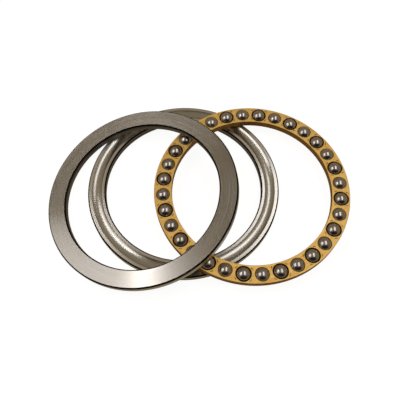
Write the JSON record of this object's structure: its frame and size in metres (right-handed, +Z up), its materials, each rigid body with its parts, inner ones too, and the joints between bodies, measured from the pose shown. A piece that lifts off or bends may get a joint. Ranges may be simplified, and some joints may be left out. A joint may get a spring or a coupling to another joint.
{
  "type": "thrust ball bearing",
  "caption": "Separable single-direction thrust ball bearing, laid open: grooved housing washer, brass cage full of steel balls, flat-backed shaft washer leaning on the balls.",
  "frame": {"origin": "on the surface the part lies on, in the middle of the ground that its three units cover", "axes": "+Z up, along the housing washer's and the cage's axes; +X from the shaft washer's side to the cage's side, along the row of the three units"},
  "size_m": [0.3867, 0.268, 0.0517],
  "materials": {
    "ground_bearing_steel": "ground, bright, with near-black broken edges",
    "machined_brass": "fine turned",
    "polished_ball_steel": "lapped to a mirror"
  },
  "bodies": {
    "housing_washer": {"housing_washer": "ground_bearing_steel"},
    "shaft_washer": {"shaft_washer": "ground_bearing_steel"},
    "cage": {"cage": "machined_brass"},
    "ball_01": {"ball_01": "polished_ball_steel"},
    "ball_02": {"ball_02": "polished_ball_steel"},
    "ball_03": {"ball_03": "polished_ball_steel"},
    "ball_04": {"ball_04": "polished_ball_steel"},
    "ball_05": {"ball_05": "polished_ball_steel"},
    "ball_06": {"ball_06": "polished_ball_steel"},
    "ball_07": {"ball_07": "polished_ball_steel"},
    "ball_08": {"ball_08": "polished_ball_steel"},
    "ball_09": {"ball_09": "polished_ball_steel"},
    "ball_10": {"ball_10": "polished_ball_steel"},
    "ball_11": {"ball_11": "polished_ball_steel"},
    "ball_12": {"ball_12": "polished_ball_steel"},
    "ball_13": {"ball_13": "polished_ball_steel"},
    "ball_14": {"ball_14": "polished_ball_steel"},
    "ball_15": {"ball_15": "polished_ball_steel"},
    "ball_16": {"ball_16": "polished_ball_steel"},
    "ball_17": {"ball_17": "polished_ball_steel"},
    "ball_18": {"ball_18": "polished_ball_steel"},
    "ball_19": {"ball_19": "polished_ball_steel"},
    "ball_20": {"ball_20": "polished_ball_steel"},
    "ball_21": {"ball_21": "polished_ball_steel"},
    "ball_22": {"ball_22": "polished_ball_steel"},
    "ball_23": {"ball_23": "polished_ball_steel"},
    "ball_24": {"ball_24": "polished_ball_steel"},
    "ball_25": {"ball_25": "polished_ball_steel"},
    "ball_26": {"ball_26": "polished_ball_steel"},
    "ball_27": {"ball_27": "polished_ball_steel"},
    "ball_28": {"ball_28": "polished_ball_steel"},
    "ball_29": {"ball_29": "polished_ball_steel"},
    "ball_30": {"ball_30": "polished_ball_steel"},
    "ball_31": {"ball_31": "polished_ball_steel"},
    "ball_32": {"ball_32": "polished_ball_steel"}
  },
  "joints": [
    {"name": "shaft_washer_spin", "type": "hinge", "parent": "housing_washer", "child": "shaft_washer", "pos_m": [-0.07102, -0.01044, 0.02592], "axis": [-0.167, -0.0076, 0.9859], "continuous": true},
    {"name": "cage_spin", "type": "hinge", "parent": "housing_washer", "child": "cage", "pos_m": [0.0687, -0.0041, 0.0208], "axis": [0, 0, 1], "continuous": true},
    {"name": "ball_01_roll", "type": "hinge", "parent": "cage", "child": "ball_01", "pos_m": [0.06258, 0.10898, 0.0208], "axis": [-0.0541, 0.9985, 0], "continuous": true},
    {"name": "ball_02_roll", "type": "hinge", "parent": "cage", "child": "ball_02", "pos_m": [0.08475, 0.10801, 0.0208], "axis": [0.1418, 0.9899, 0], "continuous": true},
    {"name": "ball_03_roll", "type": "hinge", "parent": "cage", "child": "ball_03", "pos_m": [0.10632, 0.10272, 0.0208], "axis": [0.3322, 0.9432, 0], "continuous": true},
    {"name": "ball_04_roll", "type": "hinge", "parent": "cage", "child": "ball_04", "pos_m": [0.12643, 0.09333, 0.0208], "axis": [0.5098, 0.8603, 0], "continuous": true},
    {"name": "ball_05_roll", "type": "hinge", "parent": "cage", "child": "ball_05", "pos_m": [0.14433, 0.08019, 0.0208], "axis": [0.6678, 0.7443, 0], "continuous": true},
    {"name": "ball_06_roll", "type": "hinge", "parent": "cage", "child": "ball_06", "pos_m": [0.15932, 0.06382, 0.0208], "axis": [0.8002, 0.5997, 0], "continuous": true},
    {"name": "ball_07_roll", "type": "hinge", "parent": "cage", "child": "ball_07", "pos_m": [0.17083, 0.04483, 0.0208], "axis": [0.9018, 0.4321, 0], "continuous": true},
    {"name": "ball_08_roll", "type": "hinge", "parent": "cage", "child": "ball_08", "pos_m": [0.17842, 0.02397, 0.0208], "axis": [0.9688, 0.2478, 0], "continuous": true},
    {"name": "ball_09_roll", "type": "hinge", "parent": "cage", "child": "ball_09", "pos_m": [0.18178, 0.00202, 0.0208], "axis": [0.9985, 0.0541, 0], "continuous": true},
    {"name": "ball_10_roll", "type": "hinge", "parent": "cage", "child": "ball_10", "pos_m": [0.18081, -0.02015, 0.0208], "axis": [0.9899, -0.1418, 0], "continuous": true},
    {"name": "ball_11_roll", "type": "hinge", "parent": "cage", "child": "ball_11", "pos_m": [0.17552, -0.04172, 0.0208], "axis": [0.9432, -0.3322, 0], "continuous": true},
    {"name": "ball_12_roll", "type": "hinge", "parent": "cage", "child": "ball_12", "pos_m": [0.16613, -0.06183, 0.0208], "axis": [0.8603, -0.5098, 0], "continuous": true},
    {"name": "ball_13_roll", "type": "hinge", "parent": "cage", "child": "ball_13", "pos_m": [0.15299, -0.07973, 0.0208], "axis": [0.7443, -0.6678, 0], "continuous": true},
    {"name": "ball_14_roll", "type": "hinge", "parent": "cage", "child": "ball_14", "pos_m": [0.13662, -0.09472, 0.0208], "axis": [0.5997, -0.8002, 0], "continuous": true},
    {"name": "ball_15_roll", "type": "hinge", "parent": "cage", "child": "ball_15", "pos_m": [0.11763, -0.10623, 0.0208], "axis": [0.4321, -0.9018, 0], "continuous": true},
    {"name": "ball_16_roll", "type": "hinge", "parent": "cage", "child": "ball_16", "pos_m": [0.09677, -0.11382, 0.0208], "axis": [0.2478, -0.9688, 0], "continuous": true},
    {"name": "ball_17_roll", "type": "hinge", "parent": "cage", "child": "ball_17", "pos_m": [0.07482, -0.11718, 0.0208], "axis": [0.0541, -0.9985, 0], "continuous": true},
    {"name": "ball_18_roll", "type": "hinge", "parent": "cage", "child": "ball_18", "pos_m": [0.05265, -0.11621, 0.0208], "axis": [-0.1418, -0.9899, 0], "continuous": true},
    {"name": "ball_19_roll", "type": "hinge", "parent": "cage", "child": "ball_19", "pos_m": [0.03108, -0.11092, 0.0208], "axis": [-0.3322, -0.9432, 0], "continuous": true},
    {"name": "ball_20_roll", "type": "hinge", "parent": "cage", "child": "ball_20", "pos_m": [0.01097, -0.10153, 0.0208], "axis": [-0.5098, -0.8603, 0], "continuous": true},
    {"name": "ball_21_roll", "type": "hinge", "parent": "cage", "child": "ball_21", "pos_m": [-0.00693, -0.08839, 0.0208], "axis": [-0.6678, -0.7443, 0], "continuous": true},
    {"name": "ball_22_roll", "type": "hinge", "parent": "cage", "child": "ball_22", "pos_m": [-0.02192, -0.07202, 0.0208], "axis": [-0.8002, -0.5997, 0], "continuous": true},
    {"name": "ball_23_roll", "type": "hinge", "parent": "cage", "child": "ball_23", "pos_m": [-0.03343, -0.05303, 0.0208], "axis": [-0.9018, -0.4321, 0], "continuous": true},
    {"name": "ball_24_roll", "type": "hinge", "parent": "cage", "child": "ball_24", "pos_m": [-0.04102, -0.03217, 0.0208], "axis": [-0.9688, -0.2478, 0], "continuous": true},
    {"name": "ball_25_roll", "type": "hinge", "parent": "cage", "child": "ball_25", "pos_m": [-0.04438, -0.01022, 0.0208], "axis": [-0.9985, -0.0541, 0], "continuous": true},
    {"name": "ball_26_roll", "type": "hinge", "parent": "cage", "child": "ball_26", "pos_m": [-0.04341, 0.01195, 0.0208], "axis": [-0.9899, 0.1418, 0], "continuous": true},
    {"name": "ball_27_roll", "type": "hinge", "parent": "cage", "child": "ball_27", "pos_m": [-0.03812, 0.03352, 0.0208], "axis": [-0.9432, 0.3322, 0], "continuous": true},
    {"name": "ball_28_roll", "type": "hinge", "parent": "cage", "child": "ball_28", "pos_m": [-0.02873, 0.05363, 0.0208], "axis": [-0.8603, 0.5098, 0], "continuous": true},
    {"name": "ball_29_roll", "type": "hinge", "parent": "cage", "child": "ball_29", "pos_m": [-0.01559, 0.07153, 0.0208], "axis": [-0.7443, 0.6678, 0], "continuous": true},
    {"name": "ball_30_roll", "type": "hinge", "parent": "cage", "child": "ball_30", "pos_m": [0.00078, 0.08652, 0.0208], "axis": [-0.5997, 0.8002, 0], "continuous": true},
    {"name": "ball_31_roll", "type": "hinge", "parent": "cage", "child": "ball_31", "pos_m": [0.01977, 0.09803, 0.0208], "axis": [-0.4321, 0.9018, 0], "continuous": true},
    {"name": "ball_32_roll", "type": "hinge", "parent": "cage", "child": "ball_32", "pos_m": [0.04063, 0.10562, 0.0208], "axis": [-0.2478, 0.9688, 0], "continuous": true}
  ],
  "couplings": [
    {"joint": "cage_spin", "follows": "shaft_washer_spin", "ratio": 0.5},
    {"joint": "ball_01_roll", "follows": "shaft_washer_spin", "ratio": -5.9449},
    {"joint": "ball_02_roll", "follows": "shaft_washer_spin", "ratio": -5.9449},
    {"joint": "ball_03_roll", "follows": "shaft_washer_spin", "ratio": -5.9449},
    {"joint": "ball_04_roll", "follows": "shaft_washer_spin", "ratio": -5.9449},
    {"joint": "ball_05_roll", "follows": "shaft_washer_spin", "ratio": -5.9449},
    {"joint": "ball_06_roll", "follows": "shaft_washer_spin", "ratio": -5.9449},
    {"joint": "ball_07_roll", "follows": "shaft_washer_spin", "ratio": -5.9449},
    {"joint": "ball_08_roll", "follows": "shaft_washer_spin", "ratio": -5.9449},
    {"joint": "ball_09_roll", "follows": "shaft_washer_spin", "ratio": -5.9449},
    {"joint": "ball_10_roll", "follows": "shaft_washer_spin", "ratio": -5.9449},
    {"joint": "ball_11_roll", "follows": "shaft_washer_spin", "ratio": -5.9449},
    {"joint": "ball_12_roll", "follows": "shaft_washer_spin", "ratio": -5.9449},
    {"joint": "ball_13_roll", "follows": "shaft_washer_spin", "ratio": -5.9449},
    {"joint": "ball_14_roll", "follows": "shaft_washer_spin", "ratio": -5.9449},
    {"joint": "ball_15_roll", "follows": "shaft_washer_spin", "ratio": -5.9449},
    {"joint": "ball_16_roll", "follows": "shaft_washer_spin", "ratio": -5.9449},
    {"joint": "ball_17_roll", "follows": "shaft_washer_spin", "ratio": -5.9449},
    {"joint": "ball_18_roll", "follows": "shaft_washer_spin", "ratio": -5.9449},
    {"joint": "ball_19_roll", "follows": "shaft_washer_spin", "ratio": -5.9449},
    {"joint": "ball_20_roll", "follows": "shaft_washer_spin", "ratio": -5.9449},
    {"joint": "ball_21_roll", "follows": "shaft_washer_spin", "ratio": -5.9449},
    {"joint": "ball_22_roll", "follows": "shaft_washer_spin", "ratio": -5.9449},
    {"joint": "ball_23_roll", "follows": "shaft_washer_spin", "ratio": -5.9449},
    {"joint": "ball_24_roll", "follows": "shaft_washer_spin", "ratio": -5.9449},
    {"joint": "ball_25_roll", "follows": "shaft_washer_spin", "ratio": -5.9449},
    {"joint": "ball_26_roll", "follows": "shaft_washer_spin", "ratio": -5.9449},
    {"joint": "ball_27_roll", "follows": "shaft_washer_spin", "ratio": -5.9449},
    {"joint": "ball_28_roll", "follows": "shaft_washer_spin", "ratio": -5.9449},
    {"joint": "ball_29_roll", "follows": "shaft_washer_spin", "ratio": -5.9449},
    {"joint": "ball_30_roll", "follows": "shaft_washer_spin", "ratio": -5.9449},
    {"joint": "ball_31_roll", "follows": "shaft_washer_spin", "ratio": -5.9449},
    {"joint": "ball_32_roll", "follows": "shaft_washer_spin", "ratio": -5.9449}
  ]
}
